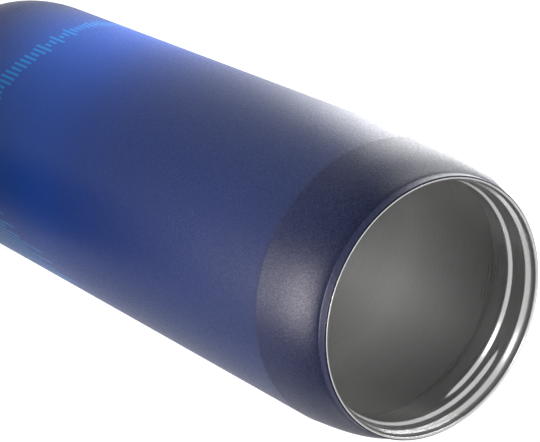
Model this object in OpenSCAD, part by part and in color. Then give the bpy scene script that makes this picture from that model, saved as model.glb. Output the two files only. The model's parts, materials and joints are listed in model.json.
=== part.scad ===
// Double-wall steel bicycle bottle with its screw-in cap set down beside it.
// Millimetres, +Z up. The origin is the centre of the bottle's foot.

/* [Bottle] */
// Height of the bottle from its foot to its lip
bottle_h = 208; // [170:1:250]
// Outer diameter of the straight body, which a bottle cage holds
body_d = 73; // [70:0.5:88]
// Outer diameter of the collar just under the lip
collar_d = 65; // [54:0.5:66]
// Height of the collar, lip included
collar_h = 2.4; // [2.2:0.1:6]
// Distance from the lip down to the crease where the shoulder starts
shoulder_h = 21.4; // [17.8:0.1:26]
// How sharply the shoulder turns in at its top
shoulder_power = 4; // [2:0.5:5]
// How steeply the shoulder runs into the collar
shoulder_end = 0.75; // [0.5:0.05:1]
// Share of the shoulder's rounding that starts as a slope at the crease
crease_slope = 0.45; // [0:0.01:0.6]
// Height over which the body rounds in to its foot
foot_round_h = 22; // [15:1:30]
// How far the body rounds in to its foot
foot_round_w = 8; // [5:0.5:11]

/* [Walls] */
// Sheet thickness of the outer shell
shell_wall = 0.5; // [0.4:0.05:0.7]
// Sheet thickness of the inner liner
liner_wall = 0.4; // [0.3:0.05:0.6]
// Vacuum gap between the shell and the liner
vacuum_gap = 2.1; // [1.5:0.1:3]
// Height of the vacuum gap over the foot
foot_gap = 4; // [3.5:0.1:8]
// Radius of the liner's bottom corner
liner_corner_r = 16; // [12:0.5:20]
// Thickness of the heat-reflecting foil
foil_t = 0.15; // [0.1:0.05:0.3]

/* [Mouth] */
// Height of the plain land just inside the lip
land_h = 1.9; // [1.5:0.1:3]
// Height of the sloping seat for the cap's gasket
seat_h = 1.1; // [0.8:0.1:2]
// How far the seat narrows the mouth
seat_w = 0.9; // [0.6:0.1:1.5]
// Depth from the lip to the lower end of the neck
neck_h = 13.8; // [12:0.1:17]
// Turn of each half of the curve from the neck to the liner, in degrees
flare_angle = 75; // [60:1:85]
// Height of the thread ridge
thread_t = 0.85; // [0.6:0.05:1.1]
// Width of the thread ridge at its root
thread_w = 2.2; // [1.6:0.1:2.6]
// Pitch of the thread
thread_pitch = 3.3; // [3:0.1:4.5]
// Angle through which the thread runs, in degrees
thread_sweep = 397; // [360:1:450]
// Depth from the lip to the upper end of the thread
thread_start_h = 5.7; // [5:0.1:6.5]

/* [Foot] */
// Depth of the recess in the foot
foot_recess_h = 1.3; // [1:0.1:3]
// Height at which the steel foot clears the ground
foot_lift = 0.8; // [0.5:0.1:1.5]
// Sheet thickness of the foot disc
foot_wall = 0.5; // [0.4:0.1:0.8]

/* [Cap] */
// Place of the cap's centre beside the bottle, across
cap_x = 62; // [58:1:90]
// Place of the cap's centre beside the bottle, along
cap_y = -62; // [-90:1:-58]
// Depth of the plug under the cap's flange
plug_h = 18; // [16:0.5:24]
// Wall of the plug
plug_wall = 2.2; // [1.6:0.1:3]
// Clearance between the plug and the crest of the mouth's thread
plug_gap = 0.45; // [0.3:0.05:0.8]
// Thickness of the plug's bottom disc
plug_floor_h = 2.5; // [1.5:0.1:4]
// Thickness of the flange that closes the mouth
flange_h = 2.5; // [2:0.1:4]
// Wall of the cap's cover
cover_wall = 2; // [1.5:0.1:3]
// Height of the cover over the flange's underside
cover_h = 24; // [22:0.5:34]
// Rounding of the cover's top edge
cover_round_r = 9; // [5:0.5:11]
// Depth of the groove that holds the grip band
band_depth = 1; // [0.5:0.1:1.4]
// Height of the grip band
band_h = 10; // [6:0.5:11]
// Number of ribs round the grip band
rib_count = 36; // [24:2:60]

/* [Nozzle] */
// Bore of the drinking channel through the plug
channel_d = 10; // [6:0.5:12]
// Outer diameter of the spout's head, on which the nozzle slides
spout_d = 22; // [18:0.5:23]
// Travel of the nozzle between shut and open
nozzle_travel = 5; // [3:0.5:7]
// Running clearance of the nozzle on the spout, on the radius
nozzle_gap = 0.06; // [0.02:0.01:0.1]
// Wall of the nozzle
nozzle_wall = 1.5; // [1.2:0.1:2.5]
// Diameter of the post that shuts the nozzle
post_d = 6; // [4:0.5:7]
// Height of the soft mouthpiece
tip_h = 6.5; // [5:0.5:10]

/* [Dust cover] */
// Wall of the dust cover
dome_wall = 1.6; // [1:0.1:2.5]
// Room round the nozzle inside the dust cover
dome_gap = 1.2; // [0.8:0.1:3]
// Diameter of the hinge pin
pin_d = 2; // [1.5:0.1:2.6]
// Running clearance of the dust cover on the hinge pin, on the radius
pin_gap = 0.05; // [0.02:0.01:0.1]
// Width of the hinge's barrel
barrel_w = 7.4; // [5:0.1:10]
// Thickness of each hinge ear
ear_w = 2.5; // [2:0.1:4]

/* [Hidden] */
$fn = 96;
overrun = 1;          // how far a cut runs past the face that it opens

// Bottle
body_r = body_d / 2;
collar_r = collar_d / 2;
lip_w = shell_wall + liner_wall;
bead_h = lip_w / 2;
sheet_top = bottle_h - bead_h;
crease_z = bottle_h - shoulder_h;
shoulder_top_z = bottle_h - collar_h;
foot_r = body_r - foot_round_w;
foot_disc_z = foot_lift + foot_recess_h;
liner_r = body_r - shell_wall - vacuum_gap - liner_wall;
liner_floor_z = foot_disc_z + foot_wall + foot_gap;
liner_seam_z = liner_floor_z + liner_corner_r;
land_r = collar_r - lip_w;
neck_r = land_r - seat_w;
thread_crest_r = neck_r - thread_t;
flare_r = (liner_r - neck_r) / (2 * (1 - cos(flare_angle)));
flare_h = 2 * flare_r * sin(flare_angle);
curve_steps = 24;

// Getter, which keeps the vacuum
getter_r = 3.5;
getter_h = 1.2;
getter_wall = 0.4;
getter_x = 12;
seal_r = 3;
seal_h = 0.8;
seal_hole_r = 1.2;
pad_gap = 0.2;

// Thread
thread_step = 6;      // degrees between two rings of the ridge
thread_fade = 14;     // degrees over which the ridge rises at its ends
thread_bite = 0.15;   // how far the ridge's root lies inside the wall
thread_start_a = 87;  // direction of the thread's upper end
thread_flank_gap = 0.1;

// Cap, measured up from the plug's underside
plug_r = thread_crest_r - plug_gap;
plug_thread_r = neck_r - plug_gap;
flange_r = land_r + lip_w / 2 + shell_wall;
flange_top_z = plug_h + flange_h;
gasket_r = land_r - 0.3;
gasket_h = land_h + seat_h / 2;
channel_r = channel_d / 2;
tube_wall = 1.5;
cover_lift = 0.6;     // gap between the cover's rim and the lip
cover_r = flange_r + cover_wall;
cover_top_z = plug_h + cover_h;
cover_seat_h = 2.5;
rib_t = 0.6;
rib_w = 1.6;
band_z = flange_top_z + 1.5;

// Spout and nozzle
spout_r = spout_d / 2;
spout_step = 0.8;     // how far the spout's head stands over its stem
spout_bore_r = spout_r - 3;
head_h = 6;
head_top_z = cover_top_z + 2;
head_z = head_top_z - head_h;
post_r = post_d / 2;
spider_h = 4;
spider_w = 1.6;
spider_z = head_z - spider_h - 4;
catch_h = 2;
catch_clear = 1;      // what is left of the stem when the nozzle is open
catch_z = head_z - catch_clear - nozzle_travel - catch_h;
nozzle_r = spout_r + nozzle_gap + nozzle_wall;
nozzle_roof_z = head_top_z + 1;
nozzle_roof_h = 2.5;
nozzle_top_z = nozzle_roof_z + nozzle_roof_h;
post_top_z = nozzle_top_z - 0.5;
pull_r = nozzle_r + 0.6;
pull_h = 2;
pull_z = nozzle_roof_z - 1;
tip_r = nozzle_r - 3;
tip_bore_r = post_r + 0.6;
tip_top_z = nozzle_top_z + tip_h;
seal_w = 1;
seal_groove_h = 2.2;
seal_z = head_z + head_h / 2;
nozzle_hole_r = nozzle_r + 0.8;

// Dust cover
dome_r = pull_r + dome_gap + dome_wall;
dome_z = cover_top_z + 0.4;
dome_top_z = tip_top_z + nozzle_travel + 0.9 + dome_wall;
dome_round_r = 6;
pin_r = pin_d / 2;
barrel_r = pin_r + 1.2;
hinge_y = dome_r + barrel_r + 2;
hinge_z = cover_top_z + barrel_r + 0.8;
ear_gap = 0.3;
arm_h = 3.2;

// Points of an arc in a profile, from one angle to the other
function arc(x, z, r, from, to, steps = 10) =
    [for (i = [0 : steps]) let (a = from + (to - from) * i / steps) [x + r * cos(a), z + r * sin(a)]];

// The shoulder's radius at a share s of its height: a power curve that starts with a slope at the crease
function shoulder_share(s) = (1 - crease_slope * s) * pow(max(0, 1 - pow(s, shoulder_power)), shoulder_end);

// The shoulder from the crease to the collar, inset by the sheet on the inside face
function shoulder_curve(inset) =
    [for (i = [0 : curve_steps])
        let (s = sin(90 * i / curve_steps),
             top = shoulder_top_z - inset)
        [collar_r - inset + (body_r - collar_r) * shoulder_share(s), crease_z + (top - crease_z) * s]];

// The rounding at the foot: a quarter of an ellipse from the foot's edge up to the straight body
function foot_curve(inset) =
    [for (i = [0 : curve_steps])
        let (a = -90 + 90 * i / curve_steps)
        [foot_r + (foot_round_w - inset) * cos(a), foot_round_h + (foot_round_h - foot_lift - inset) * sin(a)]];

function reversed(list) = [for (i = [len(list) - 1 : -1 : 0]) list[i]];

// The painted outer shell, from the foot's edge to the lip
module outer_shell() {
    outside = concat(foot_curve(0), shoulder_curve(0), [[collar_r, sheet_top]]);
    inside = concat(foot_curve(shell_wall), shoulder_curve(shell_wall), [[collar_r - shell_wall, sheet_top]]);
    color("midnightblue")
        rotate_extrude() polygon(concat(outside, reversed(inside)));
}

// The pressed disc that closes the shell at the foot, with its pumping hole
module foot_disc() {
    rim_w = foot_wall;
    color("silver")
        difference() {
            translate([0, 0, foot_lift]) cylinder(r = foot_r, h = foot_recess_h + foot_wall);
            translate([0, 0, foot_lift - overrun]) cylinder(r = foot_r - rim_w, h = foot_recess_h + overrun);
            cylinder(r = seal_hole_r, h = foot_disc_z + foot_wall + overrun);
        }
}

// The solder glass that seals the pumping hole after the air is drawn out
module vacuum_seal() {
    color("dimgray") {
        translate([0, 0, foot_disc_z]) cylinder(r = seal_hole_r, h = foot_wall);
        translate([0, 0, foot_disc_z + foot_wall]) cylinder(r1 = seal_r, r2 = seal_hole_r, h = seal_h);
    }
}

// The soft pad in the foot's recess, on which the bottle stands
module foot_pad() {
    color("black") cylinder(r = foot_r - foot_wall - pad_gap, h = foot_disc_z);
}

// One ridge of thread: a blunt bead that follows a helix round the axis, with its root inside the wall.
// root_r is the wall's radius, crest_r the ridge's, and z the height of its upper end.
module thread_ridge(root_r, crest_r, z, sweep) {
    out = sign(root_r - crest_r);
    rings = ceil(sweep / thread_step);
    function fade(a) = min(1, sin(90 * min(1, min(a, sweep - a) / thread_fade)) + 0.05);
    function ring(i) =
        let (a = sweep * i / rings,
             f = fade(a),
             r0 = root_r + out * thread_bite,
             r1 = root_r - out * abs(root_r - crest_r) * f,
             half_root = thread_w / 2 * (0.6 + 0.4 * f),
             half_crest = half_root / 2,
             c = z - thread_pitch * a / 360,
             turn = thread_start_a - a)
        [for (p = [[r0, half_root], [r1, half_crest], [r1, -half_crest], [r0, -half_root]])
            [p[0] * cos(turn), p[0] * sin(turn), c + p[1]]];
    points = [for (i = [0 : rings]) each ring(i)];
    sides = [for (i = [0 : rings - 1], j = [0 : 3])
        let (a = 4 * i, b = 4 * (i + 1), k = (j + 1) % 4)
        out > 0 ? [a + j, b + j, b + k, a + k] : [a + j, a + k, b + k, b + j]];
    first = out > 0 ? [0, 1, 2, 3] : [3, 2, 1, 0];
    last = [for (j = [0 : 3]) 4 * rings + (out > 0 ? 3 - j : j)];
    polyhedron(points, concat(sides, [first, last]));
}

// The inner liner: land, gasket seat, threaded neck, flare and straight wall
module liner() {
    neck_z = bottle_h - neck_h;
    inside = concat(
        [[liner_r, liner_seam_z]],
        arc(liner_r - flare_r, neck_z - flare_h, flare_r, 0, flare_angle),
        arc(neck_r + flare_r, neck_z, flare_r, 180 + flare_angle, 180),
        [[neck_r, bottle_h - land_h - seat_h], [land_r, bottle_h - land_h], [land_r, sheet_top]]);
    outside = concat(
        [[liner_r + liner_wall, liner_seam_z]],
        arc(liner_r - flare_r, neck_z - flare_h, flare_r + liner_wall, 0, flare_angle),
        arc(neck_r + flare_r, neck_z, flare_r - liner_wall, 180 + flare_angle, 180),
        [[neck_r + liner_wall, bottle_h - land_h - seat_h], [land_r + liner_wall, bottle_h - land_h],
         [land_r + liner_wall, sheet_top]]);
    color("lightgray") {
        rotate_extrude() polygon(concat(outside, reversed(inside)));
        thread_ridge(neck_r, thread_crest_r, bottle_h - thread_start_h, thread_sweep);
    }
}

// The dished cup that closes the liner at the bottom
module liner_base() {
    centre_r = liner_r + liner_wall - liner_corner_r;
    outside = arc(centre_r, liner_seam_z, liner_corner_r, -90, 0);
    inside = arc(centre_r, liner_seam_z, liner_corner_r - liner_wall, -90, 0);
    color("lightgray")
        rotate_extrude()
            polygon(concat([[0, liner_floor_z]], outside, reversed(inside), [[0, liner_floor_z + liner_wall]]));
}

// The copper foil wrapped round the liner inside the vacuum
module heat_shield() {
    top_z = bottle_h - neck_h - flare_h;
    color("peru")
        difference() {
            translate([0, 0, liner_seam_z]) cylinder(r = liner_r + liner_wall + foil_t, h = top_z - liner_seam_z);
            translate([0, 0, liner_seam_z - overrun])
                cylinder(r = liner_r + liner_wall, h = top_z - liner_seam_z + 2 * overrun);
        }
}

// The small cup spot-welded under the liner that holds the getter
module getter_cup() {
    color("silver")
        translate([getter_x, 0, liner_floor_z - getter_h - getter_wall])
            difference() {
                cylinder(r = getter_r + getter_wall, h = getter_h + getter_wall);
                translate([0, 0, getter_wall]) cylinder(r = getter_r, h = getter_h + overrun);
                translate([0, 0, -overrun]) cylinder(r = getter_r / 2, h = getter_wall + 2 * overrun);
            }
}

// The getter pellet, which soaks up the gas left in the vacuum
module getter() {
    color("darkslategray")
        translate([getter_x, 0, liner_floor_z - getter_h]) cylinder(r = getter_r, h = getter_h);
}

// The bare rounded bead where the shell and the liner are welded together
module rim_bead() {
    middle_r = collar_r - bead_h;
    color("whitesmoke")
        rotate_extrude() polygon(arc(middle_r, sheet_top, bead_h, 0, 180, 16));
}

module at_cap() {
    translate([cap_x, cap_y, 0]) children();
}

module tube(r_out, r_in, z, h) {
    translate([0, 0, z])
        difference() {
            cylinder(r = r_out, h = h);
            translate([0, 0, -overrun]) cylinder(r = r_in, h = h + 2 * overrun);
        }
}

// The moulding that screws into the mouth: threaded plug, flange, spout, and the post that shuts the nozzle
module cap_body() {
    plug_thread_z = plug_h - thread_start_h - thread_w / 2 - thread_w / 4 - thread_flank_gap;
    color("dimgray")
        at_cap() {
            difference() {
                union() {
                    tube(plug_r, plug_r - plug_wall, 0, plug_h);
                    translate([0, 0, plug_floor_h]) cylinder(r = channel_r + tube_wall, h = plug_h - plug_floor_h);
                    translate([0, 0, plug_h]) cylinder(r = flange_r, h = flange_h);
                    translate([0, 0, flange_top_z]) cylinder(r = spout_r - spout_step, h = head_z - flange_top_z);
                    translate([0, 0, head_z]) cylinder(r = spout_r, h = head_h);
                }
                translate([0, 0, plug_floor_h - overrun]) cylinder(r = channel_r, h = plug_h + flange_h);
                translate([0, 0, flange_top_z]) cylinder(r = spout_bore_r, h = head_top_z);
                tube(spout_r + overrun, spout_r - seal_w, seal_z - seal_groove_h / 2, seal_groove_h);
            }
            translate([0, 0, spider_z]) cylinder(r = post_r, h = post_top_z - spider_z);
            for (a = [90 : 120 : 330])
                rotate(a) translate([0, -spider_w / 2, spider_z])
                    cube([spout_bore_r + 0.3, spider_w, spider_h]);
            thread_ridge(plug_r, plug_thread_r, plug_thread_z, 360 - thread_step);
        }
}

// The disc welded into the plug's lower end, under the foam
module plug_floor() {
    color("dimgray") at_cap() tube(plug_r - plug_wall, channel_r, 0, plug_floor_h);
}

// The insulating foam inside the plug
module plug_foam() {
    color("ivory") at_cap() tube(plug_r - plug_wall, channel_r + tube_wall, plug_floor_h, plug_h - plug_floor_h);
}

// The silicone ring under the flange, which seals on the sloping seat in the mouth
module cap_gasket() {
    color("lightgray") at_cap() tube(gasket_r, plug_r, plug_h - gasket_h, gasket_h);
}

// The domed cover pressed over the flange, with the hinge's two ears
module cap_cover() {
    rim_z = plug_h + cover_lift;
    round_z = cover_top_z - cover_round_r;
    outside = concat([[cover_r, rim_z], [cover_r, band_z], [cover_r - band_depth, band_z],
                      [cover_r - band_depth, band_z + band_h], [cover_r, band_z + band_h]],
                     arc(cover_r - cover_round_r, round_z, cover_round_r, 0, 90),
                     [[nozzle_hole_r, cover_top_z]]);
    inside = concat([[nozzle_hole_r, cover_top_z - cover_wall]],
                    arc(cover_r - cover_round_r, round_z, cover_round_r - cover_wall, 90, 0),
                    [[flange_r, flange_top_z + cover_seat_h], [flange_r - cover_wall, flange_top_z + cover_seat_h],
                     [flange_r - cover_wall, flange_top_z], [flange_r, flange_top_z], [flange_r, rim_z]]);
    color("darkslategray")
        at_cap() {
            rotate_extrude() polygon(concat(outside, inside));
            for (side = [-1, 1])
                translate([side * (barrel_w / 2 + ear_gap + ear_w / 2), hinge_y, 0]) hinge_ear();
        }
}

// One ear of the hinge, standing on the cover, with the hole that grips the pin
module hinge_ear() {
    difference() {
        union() {
            translate([-ear_w / 2, -barrel_r, cover_top_z - cover_wall / 2])
                cube([ear_w, 2 * barrel_r, hinge_z - cover_top_z + cover_wall / 2]);
            translate([-ear_w / 2, 0, hinge_z]) rotate([0, 90, 0]) cylinder(r = barrel_r, h = ear_w);
        }
        translate([-ear_w / 2 - overrun, 0, hinge_z])
            rotate([0, 90, 0]) cylinder(r = pin_r, h = ear_w + 2 * overrun);
    }
}

// The ribbed rubber band in the cover's groove
module grip_band() {
    ring_r = cover_r - band_depth;
    color("black")
        at_cap() {
            tube(cover_r, ring_r, band_z, band_h);
            for (i = [0 : rib_count - 1])
                rotate(360 * i / rib_count)
                    translate([cover_r - rib_t / 2, -rib_w / 2, band_z + 1])
                        cube([rib_t * 1.5, rib_w, band_h - 2]);
        }
}

// The sliding nozzle: its roof closes on the post, and its catch stops under the spout's head
module nozzle() {
    bore_r = spout_r + nozzle_gap;
    stem_r = spout_r - spout_step;
    color("whitesmoke")
        at_cap()
            difference() {
                union() {
                    translate([0, 0, catch_z]) cylinder(r = nozzle_r, h = nozzle_top_z - catch_z);
                    translate([0, 0, pull_z]) cylinder(r = pull_r, h = pull_h);
                }
                translate([0, 0, catch_z + catch_h]) cylinder(r = bore_r, h = nozzle_roof_z - catch_z - catch_h);
                translate([0, 0, catch_z - overrun]) cylinder(r = stem_r + nozzle_gap, h = catch_h + 2 * overrun);
                cylinder(r = post_r + nozzle_gap, h = nozzle_top_z + overrun);
            }
}

// The soft mouthpiece bonded on the nozzle
module mouthpiece() {
    outside = concat([[tip_bore_r, nozzle_top_z], [tip_r, nozzle_top_z], [tip_r - 0.8, nozzle_top_z + tip_h / 2]],
                     arc(tip_r - 1.6, tip_top_z - 1.6, 1.6, 0, 90),
                     [[tip_bore_r, tip_top_z]]);
    color("gainsboro") at_cap() rotate_extrude() polygon(outside);
}

// The ring in the spout's groove that seals the nozzle
module spout_seal() {
    color("black")
        at_cap() tube(spout_r - 0.02, spout_r - seal_w, seal_z - seal_groove_h / 2 + 0.1, seal_groove_h - 0.2);
}

// The hinged dome that keeps road dirt off the nozzle
module dust_cover() {
    inner_r = dome_r - dome_wall;
    outside = concat([[dome_r, dome_z]],
                     arc(dome_r - dome_round_r, dome_top_z - dome_round_r, dome_round_r, 0, 90),
                     [[0, dome_top_z]]);
    inside = concat([[0, dome_top_z - dome_wall]],
                    arc(dome_r - dome_round_r, dome_top_z - dome_round_r, dome_round_r - dome_wall, 90, 0),
                    [[inner_r, dome_z]]);
    color("darkslategray")
        at_cap()
            difference() {
                union() {
                    rotate_extrude() polygon(concat(outside, inside));
                    translate([-barrel_w / 2, hinge_y, hinge_z]) rotate([0, 90, 0]) cylinder(r = barrel_r, h = barrel_w);
                    translate([-barrel_w / 2, inner_r, hinge_z - arm_h / 2])
                        cube([barrel_w, hinge_y - inner_r, arm_h]);
                }
                translate([-barrel_w / 2 - overrun, hinge_y, hinge_z])
                    rotate([0, 90, 0]) cylinder(r = pin_r + pin_gap, h = barrel_w + 2 * overrun);
                cylinder(r = inner_r - 0.01, h = dome_top_z - dome_round_r);
            }
}

// The steel pin of the dust cover's hinge
module hinge_pin() {
    pin_l = barrel_w + 2 * ear_gap + 2 * ear_w;
    color("silver")
        at_cap() translate([-pin_l / 2, hinge_y, hinge_z]) rotate([0, 90, 0]) cylinder(r = pin_r, h = pin_l);
}

outer_shell();
foot_disc();
vacuum_seal();
foot_pad();
liner();
liner_base();
heat_shield();
getter_cup();
getter();
rim_bead();
cap_body();
plug_floor();
plug_foam();
cap_gasket();
cap_cover();
grip_band();
nozzle();
mouthpiece();
spout_seal();
dust_cover();
hinge_pin();
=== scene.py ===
import bpy
import json
import math
import numpy as np
from mathutils import Matrix, Vector


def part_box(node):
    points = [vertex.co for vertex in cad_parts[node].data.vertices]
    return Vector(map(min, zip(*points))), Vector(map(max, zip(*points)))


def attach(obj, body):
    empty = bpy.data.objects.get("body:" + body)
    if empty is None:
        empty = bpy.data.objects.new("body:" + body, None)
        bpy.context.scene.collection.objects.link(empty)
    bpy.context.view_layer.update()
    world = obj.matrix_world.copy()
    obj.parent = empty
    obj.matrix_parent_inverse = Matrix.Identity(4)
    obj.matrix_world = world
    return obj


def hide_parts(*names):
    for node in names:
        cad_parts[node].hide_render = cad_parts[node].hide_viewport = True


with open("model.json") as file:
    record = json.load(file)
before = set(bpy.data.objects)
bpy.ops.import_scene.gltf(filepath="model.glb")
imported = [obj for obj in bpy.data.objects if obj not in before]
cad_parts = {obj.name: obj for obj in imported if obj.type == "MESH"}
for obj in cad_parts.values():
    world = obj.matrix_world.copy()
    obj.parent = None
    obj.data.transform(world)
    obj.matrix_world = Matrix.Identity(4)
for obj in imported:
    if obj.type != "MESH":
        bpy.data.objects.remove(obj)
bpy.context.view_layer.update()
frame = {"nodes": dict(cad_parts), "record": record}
mm = 0.001

shellLow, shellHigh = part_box("outer_shell")
beadLow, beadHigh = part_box("rim_bead")
linerLow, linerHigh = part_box("liner")
discLow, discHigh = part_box("foot_disc")
padLow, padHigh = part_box("foot_pad")
coverLow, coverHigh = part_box("cap_cover")
bandLow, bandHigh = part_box("grip_band")
domeLow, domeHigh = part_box("dust_cover")
nozzleLow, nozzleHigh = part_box("nozzle")
tipLow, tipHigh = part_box("mouthpiece")
plugLow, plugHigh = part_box("cap_body")
gasketLow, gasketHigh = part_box("cap_gasket")
pinLow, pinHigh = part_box("hinge_pin")

bodyRadius = shellHigh.x
lipHeight = beadHigh.z
capCentre = ((nozzleLow.x + nozzleHigh.x) / 2, (nozzleLow.y + nozzleHigh.y) / 2)
hingeAlong = (pinLow.y + pinHigh.y) / 2 - capCentre[1]
hingeHeight = (pinLow.z + pinHigh.z) / 2
print("frame loaded: bottle", round(lipHeight / mm), "mm high,", round(2 * bodyRadius / mm), "mm across")

cameraLook = {
    "position": (-3.25 * mm, -360.5 * mm, lipHeight + 360.8 * mm),
    "pitch": 49.97,    # degrees below the horizon
    "roll": 114.62,    # degrees, so that the mouth points down to the right
    "lens": 144.7,     # mm on a 36 mm sensor
    "shift": (-0.0015, -0.0035),
}


def linked(name, data):
    holder = bpy.data.objects.new(name, data)
    bpy.context.scene.collection.objects.link(holder)
    return holder


def makeCamera(look):
    camera = bpy.data.cameras.new("camera")
    camera.lens = look["lens"]
    camera.sensor_width = 36
    camera.shift_x, camera.shift_y = look["shift"]
    camera.clip_start = 0.01
    camera.clip_end = 50
    holder = linked("camera", camera)
    tilt = Matrix.Rotation(math.radians(90 - look["pitch"]), 4, "X")
    roll = Matrix.Rotation(math.radians(look["roll"]), 4, "Z")
    holder.matrix_world = Matrix.Translation(look["position"]) @ tilt @ roll
    bpy.context.scene.camera = holder


def addNode(tree, kind, values=None, links=None, **settings):
    node = tree.nodes.new("ShaderNode" + kind)
    for key, value in settings.items():
        setattr(node, key, value)
    for socket, value in (values or {}).items():
        node.inputs[socket].default_value = value
    for socket, source in (links or {}).items():
        tree.links.new(source, node.inputs[socket])
    return node


def mathNode(tree, operation, first, second=None, third=None):
    node = tree.nodes.new("ShaderNodeMath")
    node.operation = operation
    for index, value in enumerate((first, second, third)):
        if value is None:
            continue
        if isinstance(value, (int, float)):
            node.inputs[index].default_value = value
        else:
            tree.links.new(value, node.inputs[index])
    return node.outputs[0]


def spread(tree, value, fromLow, fromHigh, toLow, toHigh):
    limits = {"From Min": fromLow, "From Max": fromHigh, "To Min": toLow, "To Max": toHigh}
    return addNode(tree, "MapRange", limits, {"Value": value}).outputs["Result"]


lamps = {
    # name: (position, aimed at, width, height, degrees of spread, watts, colour)
    "leftPanel": ((-0.41, 0.08, 0.13), (0, 0, 0.11), 0.50, 0.22, 120, 2.4, (1.0, 1.0, 1.0)),
    "leftTable": ((-0.17, 0.095, 0.004), (-0.12, 0.06, 0.5), 0.26, 0.30, 180, 2.0, (1.0, 1.0, 1.0)),
    "rightPanel": ((0.38, 0.16, 0.13), (0, 0, 0.10), 0.26, 0.24, 120, 0.25, (1.0, 1.0, 1.0)),
    "lowCard": ((0.11, -0.21, 0.125), (0, -0.03, 0.20), 0.17, 0.12, 55, 0.34, (1.0, 0.92, 0.92)),
    "frontFill": ((-0.02, -0.62, 1.0), (0, 0, 0.18), 0.2, 0.2, 180, 3.9, (1.0, 1.0, 1.0)),
    "overhead": ((0.0, 0.35, 1.1), (0, 0, 0.18), 0.5, 0.5, 180, 1.1, (1.0, 1.0, 1.0)),
}
worldStrength = 0.25


def makeLamp(name, position, target, width, height, lampSpread, watts, colour):
    lamp = bpy.data.lights.new(name, "AREA")
    lamp.shape = "RECTANGLE"
    lamp.size = width
    lamp.size_y = height
    lamp.spread = math.radians(lampSpread)
    lamp.energy = watts
    lamp.color = colour
    holder = linked(name, lamp)
    holder.location = position
    aim = Vector(target) - Vector(position)
    holder.rotation_euler = aim.to_track_quat("-Z", "Y").to_euler()
    holder.visible_camera = False


def seenDirectly(tree):
    # 1 for camera, mirror and glass rays, 0 for the light that the scene spreads
    path = addNode(tree, "LightPath")
    mirrored = mathNode(tree, "MAXIMUM", path.outputs["Is Camera Ray"], path.outputs["Is Glossy Ray"])
    return mathNode(tree, "MAXIMUM", mirrored, path.outputs["Is Transmission Ray"])


def makeWorld(strength):
    world = bpy.data.worlds.new("studio")
    bpy.context.scene.world = world
    world.use_nodes = True
    tree = world.node_tree
    background = tree.nodes["Background"]
    background.inputs["Color"].default_value = (1, 1, 1, 1)
    level = spread(tree, seenDirectly(tree), 0.0, 1.0, strength, 1.0)
    tree.links.new(level, background.inputs["Strength"])


def makeFloor(halfWidth=6.0, white=0.5, glow=0.68):
    # a white floor with a little glow for what looks at it directly, so that it meets the white world
    corners = np.array([[-1, -1, 0], [1, -1, 0], [1, 1, 0], [-1, 1, 0]], float) * halfWidth
    corners[:, 2] = -0.01 * mm
    mesh = bpy.data.meshes.new("floor")
    mesh.from_pydata(corners.tolist(), [], [(0, 1, 2, 3)])
    floor = linked("floor", mesh)
    paint = bpy.data.materials.new("floorWhite")
    paint.use_nodes = True
    tree = paint.node_tree
    tree.nodes.clear()
    diffuse = addNode(tree, "BsdfDiffuse", {"Color": (white, white, white, 1)})
    amount = mathNode(tree, "MULTIPLY", seenDirectly(tree), glow)
    emission = addNode(tree, "Emission", None, {"Strength": amount})
    both = addNode(tree, "AddShader", None, {0: diffuse.outputs[0], 1: emission.outputs[0]})
    addNode(tree, "OutputMaterial", None, {"Surface": both.outputs[0]})
    mesh.materials.append(paint)


bpy.context.scene.view_settings.view_transform = "Standard"
makeCamera(cameraLook)
for lampName, facts in lamps.items():
    makeLamp(lampName, *facts)
makeWorld(worldStrength)
makeFloor()
print("camera, lamps and floor ready")


def gridFaces(rows, columns, wrapRows):
    # quads of a grid that closes on itself across its columns, and along its rows if asked
    row = np.arange(rows if wrapRows else rows - 1)[:, None]
    column = np.arange(columns)[None, :]
    nextRow = (row + 1) % rows
    nextColumn = (column + 1) % columns
    corners = [row * columns + column, row * columns + nextColumn,
               nextRow * columns + nextColumn, nextRow * columns + column]
    return np.stack(np.broadcast_arrays(*corners), -1).reshape(-1, 4)


def poleFans(rows, columns):
    # triangles that close a grid's first row on the point after its last one, and its last row on the next
    column = np.arange(columns)
    nextColumn = (column + 1) % columns
    last = (rows - 1) * columns
    low = np.full(columns, rows * columns)
    return np.concatenate([np.stack([nextColumn, column, low], -1),
                           np.stack([last + column, last + nextColumn, low + 1], -1)])


def meshFrom(name, points, quads, fans=(), sharpAngle=38):
    # puts corner, quad and triangle arrays into a mesh object at the origin, with its faces turned outward:
    # the volume summed over the faces has to come out positive
    fans = np.asarray(fans, int).reshape(-1, 3)
    triangles = np.concatenate([quads[:, :3], quads[:, [0, 2, 3]], fans])
    first, second, third = (points[triangles[:, k]] - points.mean(0) for k in range(3))
    if np.sum(first * np.cross(second, third)) < 0:
        quads = quads[:, ::-1]
        fans = fans[:, ::-1]
    loops = np.concatenate([quads.ravel(), fans.ravel()]).astype(np.int32)
    sizes = np.concatenate([np.full(len(quads), 4), np.full(len(fans), 3)])
    starts = np.concatenate([[0], np.cumsum(sizes)[:-1]]).astype(np.int32)
    mesh = bpy.data.meshes.new(name)
    mesh.vertices.add(len(points))
    mesh.vertices.foreach_set("co", np.asarray(points, np.float32).ravel())
    mesh.loops.add(len(loops))
    mesh.loops.foreach_set("vertex_index", loops)
    mesh.polygons.add(len(sizes))
    mesh.polygons.foreach_set("loop_start", starts)
    mesh.update(calc_edges=True)
    mesh.validate()
    mesh.shade_smooth()
    mesh.set_sharp_from_angle(angle=math.radians(sharpAngle))
    return linked(name, mesh)


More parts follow.
